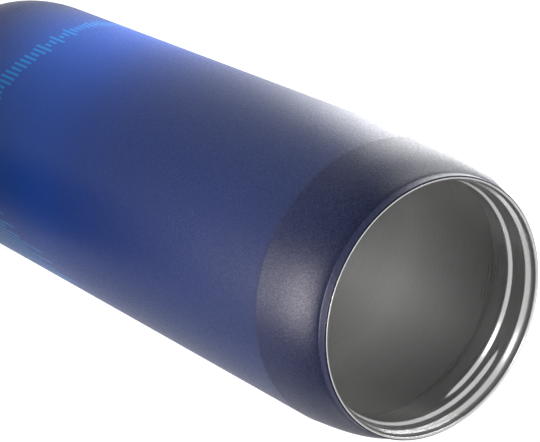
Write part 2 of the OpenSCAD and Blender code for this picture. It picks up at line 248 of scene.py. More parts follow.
def turned(name, profile, centre=(0, 0), around=192, shape=None, sharpAngle=38):
    # profile point (r, z) at angle a goes to (r cos a, r sin a, z); shape(r, a, z) may change r.
    # A profile that starts and ends on the axis gets a pole at each end, any other closes on itself.
    profile = np.asarray(profile, float)
    poled = profile[0, 0] < 1e-9 and profile[-1, 0] < 1e-9
    ring = profile[1:-1] if poled else profile
    angle = np.arange(around) * 2 * np.pi / around
    radius, turn = np.meshgrid(ring[:, 0], angle, indexing="ij")
    height = np.broadcast_to(ring[:, 1:2], radius.shape)
    if shape is not None:
        radius = shape(radius, turn, height)
    points = np.stack([centre[0] + radius * np.cos(turn), centre[1] + radius * np.sin(turn), height], -1)
    points = points.reshape(-1, 3)
    quads = gridFaces(len(ring), around, not poled)
    if not poled:
        return meshFrom(name, points, quads, (), sharpAngle)
    poles = np.array([[*centre, profile[0, 1]], [*centre, profile[-1, 1]]])
    return meshFrom(name, np.concatenate([points, poles]), quads, poleFans(len(ring), around), sharpAngle)


def bar(name, outline, start, stop, centre=(0, 0), edge=0.3 * mm, turn=0.0, edgeSteps=5, sharpAngle=38):
    # an outline of (y, z) points carried along x from start to stop. Its ends are rounded: there the outline
    # moves inward along its normals by edge (1 - cos t) while x moves by edge (1 - sin t), for t from 90
    # degrees at the very end to 0
    outline = np.asarray(outline, float)
    along = np.roll(outline, -1, 0) - np.roll(outline, 1, 0)
    normal = np.stack([along[:, 1], -along[:, 0]], -1) / np.linalg.norm(along, axis=1, keepdims=True)
    following = np.roll(outline, -1, 0)
    area = np.sum(outline[:, 0] * following[:, 1] - following[:, 0] * outline[:, 1])
    normal = normal * np.sign(area)
    rounding = np.linspace(np.pi / 2, 0, edgeSteps)
    ahead = edge * (1 - np.sin(rounding))
    inward = edge * (1 - np.cos(rounding))
    x = np.concatenate([start + ahead, (stop - ahead)[::-1]])
    inset = np.concatenate([inward, inward[::-1]])
    section = outline[None] - inset[:, None, None] * normal[None]
    points = np.concatenate([np.broadcast_to(x[:, None, None], section.shape[:2] + (1,)), section], -1)
    middle = outline.mean(0)
    ends = np.array([[x[0], *middle], [x[-1], *middle]])
    points = np.concatenate([points.reshape(-1, 3), ends])
    c, s = math.cos(math.radians(turn)), math.sin(math.radians(turn))
    points = points @ np.array([[c, s, 0], [-s, c, 0], [0, 0, 1]]) + np.array([*centre, 0])
    quads = gridFaces(len(x), len(outline), False)
    return meshFrom(name, points, quads, poleFans(len(x), len(outline)), sharpAngle)


def softened(corners, radii, steps=6):
    # each corner of a closed outline becomes a parabola that leaves one side and meets the other
    corners = np.asarray(corners, float)
    radii = np.broadcast_to(np.asarray(radii, float), len(corners))
    toBefore = np.roll(corners, 1, 0) - corners
    toAfter = np.roll(corners, -1, 0) - corners
    lengthBefore = np.linalg.norm(toBefore, axis=1, keepdims=True)
    lengthAfter = np.linalg.norm(toAfter, axis=1, keepdims=True)
    toBefore = toBefore / lengthBefore
    toAfter = toAfter / lengthAfter
    half = np.arccos(np.clip((toBefore * toAfter).sum(1), -1, 1)) / 2
    reach = np.minimum(radii / np.tan(half), 0.49 * np.minimum(lengthBefore, lengthAfter)[:, 0])
    start = corners + toBefore * reach[:, None]
    end = corners + toAfter * reach[:, None]
    share = np.linspace(0, 1, steps)[None, :, None]
    leaving = (1 - share) ** 2 * start[:, None]
    turning = 2 * share * (1 - share) * corners[:, None]
    return (leaving + turning + share ** 2 * end[:, None]).reshape(-1, 2)


def joined(*parts):
    return np.concatenate([np.asarray(part, float).reshape(-1, 2) for part in parts])


def arcPoints(r, z, radius, start, stop, steps=16):
    # a circle of the given radius round (r, z), from one angle to the other, in degrees
    angle = np.radians(np.linspace(start, stop, steps))
    return np.stack([r + radius * np.cos(angle), z + radius * np.sin(angle)], -1)


def linePoints(first, last, steps):
    share = np.linspace(0, 1, steps)[:, None]
    return np.asarray(first) * (1 - share) + np.asarray(last) * share


def hump(value, low, high, fade):
    # 1 between low and high, with a cosine fall to 0 over fade outside them
    outside = np.maximum(low - value, value - high) / fade
    return (1 + np.cos(np.pi * np.clip(outside, 0, 1))) / 2


def newFinish(name, colour, roughness, metallic=0.0, **sockets):
    material = bpy.data.materials.new(name)
    material.use_nodes = True
    shader = material.node_tree.nodes["Principled BSDF"]
    shader.inputs["Base Color"].default_value = (*colour, 1)
    shader.inputs["Roughness"].default_value = roughness
    shader.inputs["Metallic"].default_value = metallic
    for socket, value in sockets.items():
        shader.inputs[socket.replace("_", " ")].default_value = value
    return material, material.node_tree, shader


def mixColours(tree, amount, first, second, blend="MIX"):
    node = tree.nodes.new("ShaderNodeMix")
    node.data_type = "RGBA"
    node.blend_type = blend
    for index, value in ((0, amount), (6, first), (7, second)):
        if isinstance(value, (int, float)):
            node.inputs[index].default_value = value
        elif isinstance(value, tuple):
            node.inputs[index].default_value = (*value, 1)
        else:
            tree.links.new(value, node.inputs[index])
    return node.outputs[2]


def noiseOf(tree, coordinates, scale, detail=2.0, roughness=0.5):
    node = addNode(tree, "TexNoise", {"Scale": scale, "Detail": detail, "Roughness": roughness})
    tree.links.new(coordinates, node.inputs["Vector"])
    return node.outputs["Fac"]


def addBump(tree, shader, height, distance, strength=1.0):
    bump = addNode(tree, "Bump", {"Distance": distance, "Strength": strength}, {"Height": height})
    tree.links.new(bump.outputs["Normal"], shader.inputs["Normal"])


noiseRange = (0.3, 0.7)    # nearly all of a noise texture lies between these
bluePaint = {
    "roughness": 0.40,
    "specular": 0.1,
    "grainSize": 0.6 * mm,
    "grainDepth": 0.05 * mm,
    "cloudScale": 16.0,          # clouds to the metre
    "cloudShare": 0.18,
    "cloudColour": (0.002, 0.004, 0.02),
    "fleckFineness": 2.6,        # flecks to a grain
    "fleckShare": 0.10,
    "fleckColour": (0.13, 0.15, 0.26),
    "stops": [    # height over the foot in mm, then the colour as the eye sees it, 0 to 255
        (0, (6, 10, 30)),
        (20, (8, 14, 44)),
        (45, (12, 54, 126)),
        (60, (12, 66, 150)),
        (80, (10, 54, 130)),
        (98, (7, 38, 96)),
        (120, (5, 25, 68)),
        (150, (4, 19, 54)),
        (185, (4, 16, 46)),
        (187, (2, 7, 30)),
        (208, (2, 6, 26)),
    ],
}
tickBand = {
    "height": 53.5 * mm,      # middle of the band over the foot
    "pitch": 2.5,             # degrees from tick to tick
    "width": 0.46,            # share of the pitch that a tick fills
    "shortest": 1.0 * mm,
    "random": 3.0 * mm,
    "peakAngle": -14.0,       # where the tall group stands, in degrees
    "peakSpread": 20.0,
    "peakHeight": 34 * mm,
    "peakLeast": 0.5,         # share of that height which every tick of the group has
    "peakRandom": 0.6,        # share that is left to chance
    "waves": 5.0,             # waves of the band's middle round the body
    "waveHeight": 2.0 * mm,
    "strength": 0.85,         # how fully a tick covers the paint
    "colour": (14, 112, 180),
}


def seenColour(red, green, blue):
    # a colour as the eye reads it, 0 to 255, turned into the light values that a shader wants
    value = np.array([red, green, blue]) / 255
    linear = np.where(value <= 0.04045, value / 12.92, ((value + 0.055) / 1.055) ** 2.4)
    return tuple(float(v) for v in linear)


def fillRamp(ramp, stops):
    # the first and last stops are there already, the rest are added
    ramp.elements[0].position, ramp.elements[0].color = stops[0][0], (*stops[0][1], 1)
    ramp.elements[1].position, ramp.elements[1].color = stops[-1][0], (*stops[-1][1], 1)
    for position, colour in stops[1:-1]:
        ramp.elements.new(position).color = (*colour, 1)


def tickMask(tree, spot, band):
    # 1 on a tick: ticks stand side by side round the body. Each reaches up and down by a shortest length
    # plus a random share, and near one angle by a tall group of 1 / (1 + offset^4). The band's middle waves
    # with the angle.
    angle = mathNode(tree, "ARCTAN2", spot.outputs["Y"], spot.outputs["X"])
    count = mathNode(tree, "DIVIDE", angle, math.radians(band["pitch"]))
    index = mathNode(tree, "FLOOR", count)
    across = mathNode(tree, "ABSOLUTE", mathNode(tree, "SUBTRACT", mathNode(tree, "FRACT", count), 0.5))
    chance = addNode(tree, "TexWhiteNoise", None, {"W": index}, noise_dimensions="1D").outputs["Value"]
    middle = mathNode(tree, "MULTIPLY", mathNode(tree, "ADD", index, 0.5), math.radians(band["pitch"]))
    offset = mathNode(tree, "DIVIDE",
                      mathNode(tree, "SUBTRACT", middle, math.radians(band["peakAngle"])),
                      math.radians(band["peakSpread"]))
    square = mathNode(tree, "MULTIPLY", offset, offset)
    tall = mathNode(tree, "DIVIDE", 1.0, mathNode(tree, "MULTIPLY_ADD", square, square, 1.0))
    swing = mathNode(tree, "SINE", mathNode(tree, "MULTIPLY", middle, band["waves"]))
    centre = mathNode(tree, "MULTIPLY_ADD", swing, band["waveHeight"], band["height"])
    reach = mathNode(tree, "MULTIPLY_ADD", chance, band["random"], band["shortest"])
    peak = mathNode(tree, "MULTIPLY_ADD", chance, band["peakRandom"], band["peakLeast"])
    reach = mathNode(tree, "MULTIPLY_ADD", mathNode(tree, "MULTIPLY", tall, band["peakHeight"]), peak, reach)
    rise = mathNode(tree, "ABSOLUTE", mathNode(tree, "SUBTRACT", spot.outputs["Z"], centre))
    # how far inside the tick's round end, in the body's radius times the angle
    halfWidth = band["width"] * math.radians(band["pitch"]) * bodyRadius / 2
    sideways = mathNode(tree, "MULTIPLY", across, math.radians(band["pitch"]) * bodyRadius)
    beyond = mathNode(tree, "MAXIMUM", mathNode(tree, "SUBTRACT", rise, reach), 0.0)
    distance = mathNode(tree, "SQRT", mathNode(tree, "MULTIPLY_ADD", beyond, beyond,
                                               mathNode(tree, "MULTIPLY", sideways, sideways)))
    return mathNode(tree, "LESS_THAN", distance, halfWidth)


def makeBluePaint(look, band):
    material, tree, shader = newFinish("bluePaint", (0.02, 0.03, 0.1), look["roughness"],
                                       Specular_IOR_Level=look["specular"])
    coordinates = addNode(tree, "TexCoord").outputs["Object"]
    spot = addNode(tree, "SeparateXYZ", None, {"Vector": coordinates})
    height = spread(tree, spot.outputs["Z"], 0.0, lipHeight, 0.0, 1.0)
    ramp = addNode(tree, "ValToRGB", None, {"Fac": height})
    fillRamp(ramp.color_ramp, [(z * mm / lipHeight, seenColour(*colour)) for z, colour in look["stops"]])
    ramp.color_ramp.interpolation = "B_SPLINE"
    drift = noiseOf(tree, coordinates, look["cloudScale"])
    grain = noiseOf(tree, coordinates, 1 / look["grainSize"], 3.0, 0.6)
    fleck = noiseOf(tree, coordinates, look["fleckFineness"] / look["grainSize"], 1.0)
    clouds = spread(tree, drift, *noiseRange, 0.0, look["cloudShare"])
    colour = mixColours(tree, clouds, ramp.outputs["Color"], look["cloudColour"])
    flecks = spread(tree, fleck, 0.42, 0.72, 0.0, look["fleckShare"])
    colour = mixColours(tree, flecks, colour, look["fleckColour"])
    ticks = mathNode(tree, "MULTIPLY", tickMask(tree, spot, band), band["strength"])
    colour = mixColours(tree, ticks, colour, seenColour(*band["colour"]))
    tree.links.new(colour, shader.inputs["Base Color"])
    tree.links.new(spread(tree, grain, *noiseRange, look["roughness"] - 0.06, look["roughness"] + 0.07),
                   shader.inputs["Roughness"])
    addBump(tree, shader, grain, look["grainDepth"])
    return material


steelLook = {
    "colour": (0.58, 0.58, 0.577),
    "roughness": 0.26,
    "metallic": 0.92,
    "satinFrom": 15 * mm,    # depth under the lip where the blasted satin inside starts
    "satinFull": 50 * mm,    # depth at which it is full
    "satinColour": (0.78, 0.777, 0.77),
    "satinRoughness": 0.5,
    "brushing": 0.7,         # how far a highlight is drawn out across the brushed lines
    "satinMetallic": 0.8,
    "lineSize": 0.5 * mm,
    "lineStretch": 40,       # how much longer than wide the brushed lines are
    "lineRadius": 34 * mm,   # the radius at which that holds
    "lineDepth": 0.003 * mm,
    "cloudScale": 60.0,      # clouds to the metre
    "darkest": 0.84,         # share of its colour that the darkest line keeps
    "ripple": 0.04,          # how far the roughness swings with the tone
}


def makeSteel(name, look):
    # brushed round the axis: noise on (angle stretched out, height), with a slow cloud over it, bright at
    # the mouth and satin below it
    material, tree, shader = newFinish(name, look["colour"], look["roughness"], look["metallic"],
                                       Anisotropic=look["brushing"], Anisotropic_Rotation=0.25)
    roundTangent = addNode(tree, "Tangent", direction_type="RADIAL", axis="Z")
    tree.links.new(roundTangent.outputs["Tangent"], shader.inputs["Tangent"])
    coordinates = addNode(tree, "TexCoord").outputs["Object"]
    spot = addNode(tree, "SeparateXYZ", None, {"Vector": coordinates})
    angle = mathNode(tree, "ARCTAN2", spot.outputs["Y"], spot.outputs["X"])
    stretch = look["lineRadius"] / look["lineStretch"]
    along = mathNode(tree, "MULTIPLY", mathNode(tree, "ABSOLUTE", angle), stretch)
    brushed = addNode(tree, "CombineXYZ", None, {"X": along, "Y": spot.outputs["Z"]})
    lines = noiseOf(tree, brushed.outputs["Vector"], 1 / look["lineSize"], 3.0, 0.65)
    cloud = noiseOf(tree, coordinates, look["cloudScale"], 3.0)
    tone = mathNode(tree, "MULTIPLY_ADD", lines, 0.6, mathNode(tree, "MULTIPLY", cloud, 0.4))
    satin = spread(tree, spot.outputs["Z"], lipHeight - look["satinFull"], lipHeight - look["satinFrom"],
                   1.0, 0.0)
    colour = mixColours(tree, satin, look["colour"], look["satinColour"])
    darkest = (look["darkest"],) * 3
    shading = mixColours(tree, spread(tree, tone, *noiseRange, 0.0, 1.0), darkest, (1.0, 1.0, 1.0))
    tree.links.new(mixColours(tree, 1.0, colour, shading, "MULTIPLY"), shader.inputs["Base Color"])
    base = spread(tree, satin, 0.0, 1.0, look["roughness"], look["satinRoughness"])
    ripple = spread(tree, tone, *noiseRange, look["ripple"], -look["ripple"])
    tree.links.new(mathNode(tree, "ADD", base, ripple), shader.inputs["Roughness"])
    metal = spread(tree, satin, 0.0, 1.0, look["metallic"], look["satinMetallic"])
    tree.links.new(metal, shader.inputs["Metallic"])
    addBump(tree, shader, lines, look["lineDepth"])
    return material


def makeMoulded(name, colour, roughness, grainSize, grainDepth, variation=0.12, driftScale=45.0, **sockets):
    # moulded plastic or rubber: spark-eroded grain, and a slow drift of tone
    material, tree, shader = newFinish(name, colour, roughness, **sockets)
    coordinates = addNode(tree, "TexCoord").outputs["Object"]
    grain = noiseOf(tree, coordinates, 1 / grainSize, 3.0, 0.6)
    drift = noiseOf(tree, coordinates, driftScale)
    tone = mathNode(tree, "MULTIPLY_ADD", grain, 0.5, mathNode(tree, "MULTIPLY", drift, 0.5))
    shade = tuple(c * (1 - variation) for c in colour)
    light = tuple(min(1, c * (1 + variation) + 0.004) for c in colour)
    mixed = mixColours(tree, spread(tree, tone, *noiseRange, 0.0, 1.0), shade, light)
    tree.links.new(mixed, shader.inputs["Base Color"])
    tree.links.new(spread(tree, grain, *noiseRange, roughness - 0.05, roughness + 0.07),
                   shader.inputs["Roughness"])
    addBump(tree, shader, grain, grainDepth)
    return material


finishes = {
    "blue_paint": makeBluePaint(bluePaint, tickBand),
    "bare_steel": makeSteel("bareSteel", steelLook),
    "cap_plastic": makeMoulded("capPlastic", (0.014, 0.018, 0.036), 0.46, 0.22 * mm, 0.010 * mm),
    "grip_rubber": makeMoulded("gripRubber", (0.022, 0.022, 0.025), 0.68, 0.30 * mm, 0.015 * mm),
    "foot_rubber": makeMoulded("footRubber", (0.026, 0.026, 0.03), 0.72, 0.35 * mm, 0.02 * mm),
    "nozzle_plastic": makeMoulded("nozzlePlastic", (0.022, 0.10, 0.32), 0.32, 0.35 * mm, 0.004 * mm),
    "soft_mouthpiece": makeMoulded("softMouthpiece", (0.42, 0.46, 0.52), 0.45, 0.4 * mm, 0.006 * mm, 0.05,
                                   Subsurface_Weight=0.2, Subsurface_Scale=0.003),
    "clear_silicone": makeMoulded("clearSilicone", (0.52, 0.54, 0.57), 0.40, 0.5 * mm, 0.004 * mm, 0.05,
                                  Subsurface_Weight=0.25, Subsurface_Scale=0.002),
    "insulating_foam": makeMoulded("insulatingFoam", (0.66, 0.63, 0.54), 0.85, 0.5 * mm, 0.05 * mm),
    "copper_foil": makeMoulded("copperFoil", (0.78, 0.42, 0.26), 0.25, 2.0 * mm, 0.03 * mm, 0.1,
                               Metallic=1.0),
    "solder_glass": makeMoulded("solderGlass", (0.06, 0.065, 0.07), 0.15, 0.6 * mm, 0.01 * mm),
    "getter_alloy": makeMoulded("getterAlloy", (0.10, 0.10, 0.105), 0.7, 0.2 * mm, 0.02 * mm, 0.2,
                                Metallic=0.6),
}
slotOf = {row["node"]: row["material_slot"] for row in frame["record"]["subparts"]}
for node, holder in frame["nodes"].items():
    holder.data.materials.clear()
    holder.data.materials.append(finishes[slotOf[node]])
print("materials ready:", len(finishes))


def place(piece, node):
    # a new piece rides where its CAD node rides, stands for it, and takes its slot's finish
    body = next(name for name, nodes in frame["record"]["behaviour"]["bodies"].items() if node in nodes)
    piece.data.materials.append(finishes[slotOf[node]])
    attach(piece, body)
    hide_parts(node)
    return piece


shellLook = {
    "wall": 0.5 * mm,
    "footRadius": 28.5 * mm,
    "footHeight": 22 * mm,
    "shoulderHeight": 21.4 * mm,
    "collarHeight": 2.4 * mm,
    "collarRadius": 32.5 * mm,
    "power": 4,
    "ending": 0.75,
    "creaseSlope": 0.45,
    "bareLip": 0.55 * mm,        # width of the bare steel that the paint leaves on the lip
}


def shoulderCurve(look, inset, steps):
    # radius = collar + (body - collar)(1 - slope s)(1 - s^power)^ending, for s from 0 at the crease to 1
    share = np.sin(np.linspace(0, np.pi / 2, steps))
    swell = (1 - look["creaseSlope"] * share) * np.maximum(0, 1 - share ** look["power"]) ** look["ending"]
    crease = lipHeight - look["shoulderHeight"]
    top = lipHeight - look["collarHeight"] - inset
    radius = look["collarRadius"] - inset + (bodyRadius - look["collarRadius"]) * swell
    return np.stack([radius, crease + (top - crease) * share], -1)


def footCurve(look, inset, steps):
    # a quarter of an ellipse from the foot's edge up to the straight body
    angle = np.linspace(-np.pi / 2, 0, steps)
    across = bodyRadius - look["footRadius"] - inset
    tall = look["footHeight"] - shellLow.z - inset
    radius = look["footRadius"] + across * np.cos(angle)
    return np.stack([radius, look["footHeight"] + tall * np.sin(angle)], -1)


def evened(curve):
    # averages each inner point with its neighbours, which rounds the corner between shoulder and collar
    result = curve.copy()
    for _ in range(6):
        result[1:-1] = (result[:-2] + 2 * result[1:-1] + result[2:]) / 4
    return result


def makeShell(look):
    # the paint ends in a quarter circle on the outer half of the lip
    crease = lipHeight - look["shoulderHeight"]
    lipRadius = look["collarRadius"]
    wrap = 2 * (beadHigh.z - beadLow.z) - look["bareLip"]
    wall = linePoints((bodyRadius, look["footHeight"]), (bodyRadius, crease), 24)[1:-1]
    upper = joined(shoulderCurve(look, 0, 90)[:-4], linePoints((lipRadius, lipHeight - look["collarHeight"]),
                                                               (lipRadius, beadLow.z), 12))
    upper[1:] = evened(upper[1:])
    outside = joined(footCurve(look, 0, 48), wall, upper,
                     arcPoints(lipRadius - wrap, beadLow.z, wrap, 0, 80, 6)[1:])
    inside = joined(footCurve(look, look["wall"], 24), shoulderCurve(look, look["wall"], 36),
                    [(lipRadius - look["wall"], shellHigh.z)])
    return turned("paintedShell", joined(outside, inside[::-1]), around=256, sharpAngle=4)


place(makeShell(shellLook), "outer_shell")

mouthLook = {
    "wall": 0.4 * mm,
    "landRadius": 31.6 * mm,
    "landHeight": 1.9 * mm,
    "seatHeight": 1.1 * mm,
    "neckRadius": 30.7 * mm,
    "neckDepth": 13.8 * mm,
    "flareAngle": 75,
    "threadStart": 5.7 * mm,     # depth of its upper end
    "threadStartAngle": 87,      # direction of its upper end, in degrees
    "threadSweep": 397,
    "threadHeight": 0.85 * mm,
}
threadLook = {
    "pitch": 3.3 * mm,
    "width": 2.3 * mm,
    "fade": 14,                  # degrees over which it rises at its ends
}


def helixRidge(turn, height, look, top, startAngle, sweep):
    # share of the ridge's height at an angle and a height: a rounded hump across a helix that falls as the
    # angle falls, the highest of the turns that pass there, with a blunt rise and fall at its two ends
    share = np.zeros_like(turn)
    for lap in range(3):
        gone = (startAngle - np.degrees(turn)) % 360 + 360 * lap
        centre = top - look["pitch"] * gone / 360
        ends = np.sin(np.clip(np.minimum(gone, sweep - gone) / look["fade"], 0, 1) * np.pi / 2)
        across = np.clip(1 - np.abs(height - centre) / (look["width"] / 2 * (0.6 + 0.4 * ends)), 0, 1)
        share = np.maximum(share, ends * np.sin(np.minimum(1, across * 1.35) * np.pi / 2) ** 1.6)
    return share


def makeLiner(look, thread):
    linerRadius = linerHigh.x - look["wall"]
    low = linerLow.z
    neckLow = lipHeight - look["neckDepth"]
    seatLow = lipHeight - look["landHeight"] - look["seatHeight"]
    landLow = lipHeight - look["landHeight"]
    flareAngle = look["flareAngle"]
    flare = (linerRadius - look["neckRadius"]) / (2 * (1 - math.cos(math.radians(flareAngle))))
    drop = 2 * flare * math.sin(math.radians(flareAngle))
    neck, land, wall = look["neckRadius"], look["landRadius"], look["wall"]

    def side(thickness, neckSteps, arcSteps):
        return joined(
            linePoints((linerRadius + thickness, low), (linerRadius + thickness, neckLow - drop), 12)[:-1],
            arcPoints(linerRadius - flare, neckLow - drop, flare + thickness, 0, flareAngle, arcSteps),
            arcPoints(neck + flare, neckLow, flare - thickness, 180 + flareAngle, 180, arcSteps)[1:],
            linePoints((neck + thickness, neckLow), (neck + thickness, seatLow), neckSteps)[1:],
            linePoints((neck + thickness, seatLow), (land + thickness, landLow), 5)[1:],
            [(land + thickness, linerHigh.z)])

    def withThread(radius, turn, height):
        ridge = helixRidge(turn, height, thread, lipHeight - look["threadStart"], look["threadStartAngle"],
                           look["threadSweep"])
        isInside = np.abs(radius - neck) < wall / 2
        return radius - np.where(isInside, ridge * look["threadHeight"], 0)

    profile = joined(side(wall, 4, 6), side(0, 48, 12)[::-1])
    return turned("linerMouth", profile, around=600, shape=withThread, sharpAngle=50)


place(makeLiner(mouthLook, threadLook), "liner")


def makeLinerBase(corner=16 * mm, wall=0.4 * mm):
    # a flat disc with a quarter-round corner up to the liner's wall
    low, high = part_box("liner_base")
    centre = high.x - corner
    outside = joined([(0, low.z)], arcPoints(centre, high.z, corner, -90, 0, 24))
    inside = joined(arcPoints(centre, high.z, corner - wall, 0, -90, 24), [(0, low.z + wall)])
    return turned("linerBottom", joined(outside, inside), around=128)


def makeRim(bare):
    # the part of the half-round weld bead that the paint leaves bare
    width = beadHigh.z - beadLow.z
    middle = beadHigh.x - width
    stop = math.degrees(math.acos(1 - bare / width))
    crest = arcPoints(middle, beadLow.z, width, 180, 180 - stop, 14)
    return turned("rimBead", joined(crest, [(crest[-1, 0], beadLow.z)]), around=256, sharpAngle=60)


place(makeLinerBase(), "liner_base")
place(makeRim(shellLook["bareLip"]), "rim_bead")

footLook = {
    "discWall": 0.5 * mm,
    "holeRadius": 1.2 * mm,
    "grooves": 7,
    "grooveDepth": 0.35 * mm,
    "padEdge": 0.7 * mm,
}


def makeFootDisc(look):
    # a pressed disc: the pumping hole's edge, the flat, a round bend down, and the rim on the foot's edge
    wall = look["discWall"]
    edge = discHigh.x
    outline = [(look["holeRadius"], discHigh.z), (edge, discHigh.z), (edge, discLow.z),
               (edge - wall, discLow.z), (edge - wall, discHigh.z - wall),
               (look["holeRadius"], discHigh.z - wall)]
    radii = [0.1 * mm, wall, 0.15 * mm, 0.15 * mm, 0.2 * mm, 0.1 * mm]
    return turned("footDisc", softened(outline, radii), around=192)


def makeFootPad(look):
    # the underside rises in ring grooves: depth (1 - cos) / 2 of the radius, flattened where the pad stands
    edge = padHigh.x
    radius = np.linspace(0, edge - look["padEdge"], 140)
    wave = np.cos(2 * np.pi * look["grooves"] * radius / radius[-1])
    under = look["grooveDepth"] * np.clip(-wave - 0.35, 0, 0.4) / 0.4
    side = arcPoints(edge - look["padEdge"], look["padEdge"], look["padEdge"], -90, 0, 7)[1:]
    top = [(edge, padHigh.z), (0, padHigh.z)]
    return turned("footPad", joined(np.stack([radius, under], -1), side, top), around=160)


place(makeFootDisc(footLook), "foot_disc")
place(makeFootPad(footLook), "foot_pad")
print("bottle ready")

capLook = {
    "plugRadius": 29.4 * mm,
    "plugInner": 27.2 * mm,
    "plugHeight": 18 * mm,
    "threadTop": 10.55 * mm,
    "threadAngle": 87,
    "threadSweep": 354,
    "threadHeight": 0.85 * mm,
    "flangeRadius": 32.55 * mm,
    "flangeTop": 20.5 * mm,
    "channelRadius": 5 * mm,
    "channelWall": 1.5 * mm,
    "channelLow": 2.5 * mm,
    "stemRadius": 10.2 * mm,
    "headRadius": 11 * mm,
    "headLow": 38 * mm,
    "headTop": 44 * mm,
    "edge": 0.3 * mm,
    "plugLeadIn": 0.7 * mm,      # the rounder edges at the plug's open end, outside and inside
    "plugInnerEdge": 0.4 * mm,
    "boreRadius": 8 * mm,
    "sealLow": 39.9 * mm,
    "sealTop": 42.1 * mm,
    "sealDepth": 1 * mm,
    "postRadius": 3 * mm,
    "postLow": 30 * mm,
    "postEdge": 0.8 * mm,
    "ribHeight": 4 * mm,
    "ribWidth": 1.6 * mm,
    "gasketLip": 0.25 * mm,      # depth of the dips beside the gasket's two lips
    "gasketEntry": 0.35 * mm,    # how much its lower end draws in
}


def makeCapBody(look):
    # one closed outline for the plug, flange, channel and spout, with the thread out of the plug's wall
    plug, plugInner, plugTop = look["plugRadius"], look["plugInner"], look["plugHeight"]
    flange, flangeTop, stem = look["flangeRadius"], look["flangeTop"], look["stemRadius"]
    head, headLow, headTop = look["headRadius"], look["headLow"], look["headTop"]
    groove, sealLow, sealTop = head - look["sealDepth"], look["sealLow"], look["sealTop"]
    bore, channel, channelLow = look["boreRadius"], look["channelRadius"], look["channelLow"]
    tube = channel + look["channelWall"]
    outline = [(plug, 0), (plug, plugTop), (flange, plugTop), (flange, flangeTop), (stem, flangeTop),
               (stem, headLow), (head, headLow), (head, sealLow), (groove, sealLow), (groove, sealTop),
               (head, sealTop), (head, headTop), (bore, headTop), (bore, flangeTop), (channel, flangeTop),
               (channel, channelLow), (tube, channelLow), (tube, plugTop), (plugInner, plugTop),
               (plugInner, 0)]
    radii = np.full(len(outline), look["edge"])
    radii[[0, -1]] = look["plugLeadIn"], look["plugInnerEdge"]
    steps = 5
    curve = softened(outline, radii, steps)
    wall = linePoints(curve[steps - 1], curve[steps], 60)[1:-1]
    curve = joined(curve[:steps], wall, curve[steps:])

    def withThread(radius, turn, height):
        ridge = helixRidge(turn, height, threadLook, look["threadTop"], look["threadAngle"],
                           look["threadSweep"])
        onWall = (np.abs(radius - plug) < 0.05 * mm) & (height < plugTop - 0.4 * mm)
        return radius + np.where(onWall, ridge * look["threadHeight"], 0)

    return turned("capMoulding", curve, capCentre, 480, withThread, 40)


def makePost(look):
    # the post that shuts the nozzle: a rod whose end has a quarter-round edge
    top = plugHigh.z
    radius, edge = look["postRadius"], look["postEdge"]
    side = linePoints((radius, look["postLow"]), (radius, top - edge), 8)[:-1]
    dome = arcPoints(radius - edge, top - edge, edge, 0, 90, 8)
    profile = joined([(0, look["postLow"])], side, dome, [(0, top)])
    return turned("nozzlePost", profile, capCentre, 64)


def makeSpiderRib(look, number):
    # one of the three ribs that carry the post in the spout's bore
    half = look["ribWidth"] / 2
    low, high = look["postLow"], look["postLow"] + look["ribHeight"]
    outline = softened([(-half, low), (half, low), (half, high), (-half, high)], 0.5 * mm)
    start = look["postRadius"] - 0.3 * mm
    stop = look["boreRadius"] + 0.2 * mm
    return bar("spiderRib" + str(number), outline, start, stop, capCentre, 0.1 * mm, 90 + 120 * number)


place(makeCapBody(capLook), "cap_body")
place(makePost(capLook), "cap_body")
for number in range(3):
    place(makeSpiderRib(capLook, number), "cap_body")


def makeGasket(look):
    # a ring of silicone with two soft lips that bear on the seat: r = outer edge - depth (1 + cos 4 pi s) / 2
    # for s from 0 at its lower end to 1, and drawn in further near s = 0
    height = np.linspace(gasketLow.z, gasketHigh.z, 40)
    share = (height - gasketLow.z) / (gasketHigh.z - gasketLow.z)
    outer = gasketHigh.x - capCentre[0]
    dips = look["gasketLip"] * (1 + np.cos(4 * np.pi * share)) / 2
    edge = outer - dips - look["gasketEntry"] * hump(share, 0.0, 0.0, 0.12)
    inner = [(look["plugRadius"], gasketHigh.z), (look["plugRadius"], gasketLow.z)]
    return turned("capGasket", joined(np.stack([edge, height], -1), inner), capCentre, 192)


def makeSpoutSeal(look):
    # a round ring in the spout's groove: an ellipse of the groove's width and height
    low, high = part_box("spout_seal")
    inner = look["headRadius"] - look["sealDepth"]
    outer = high.x - capCentre[0]
    angle = np.linspace(0, 2 * np.pi, 24, endpoint=False)
    section = np.stack([(inner + outer) / 2 + (outer - inner) / 2 * np.cos(angle),
                        (low.z + high.z) / 2 + (high.z - low.z) / 2 * np.sin(angle)], -1)
    return turned("spoutSeal", section, capCentre, 96)


place(makeGasket(capLook), "cap_gasket")
place(makeSpoutSeal(capLook), "spout_seal")

coverLook = {
    "wall": 2 * mm,
    "topRound": 9 * mm,
    "grooveDepth": 1 * mm,
    "holeRadius": 13.36 * mm,
    "ledgeLow": 20.5 * mm,
    "ledgeTop": 23 * mm,
    "flutes": 108,             # fine flutes round the rim under the band
    "fluteDepth": 0.22 * mm,
    "stepRadius": 19.5 * mm,   # a shallow step round the spout
    "stepDepth": 0.35 * mm,
    "earThick": 2.5 * mm,
    "earGap": 4.0 * mm,        # from the middle to an ear's near face
    "earRadius": 2.2 * mm,
    "earFoot": 3.1 * mm,
    "earDepth": 6 * mm,        # from the spout's top down to where the ears start
    "spoutRise": 5 * mm,       # how far the spout stands over the cover
}


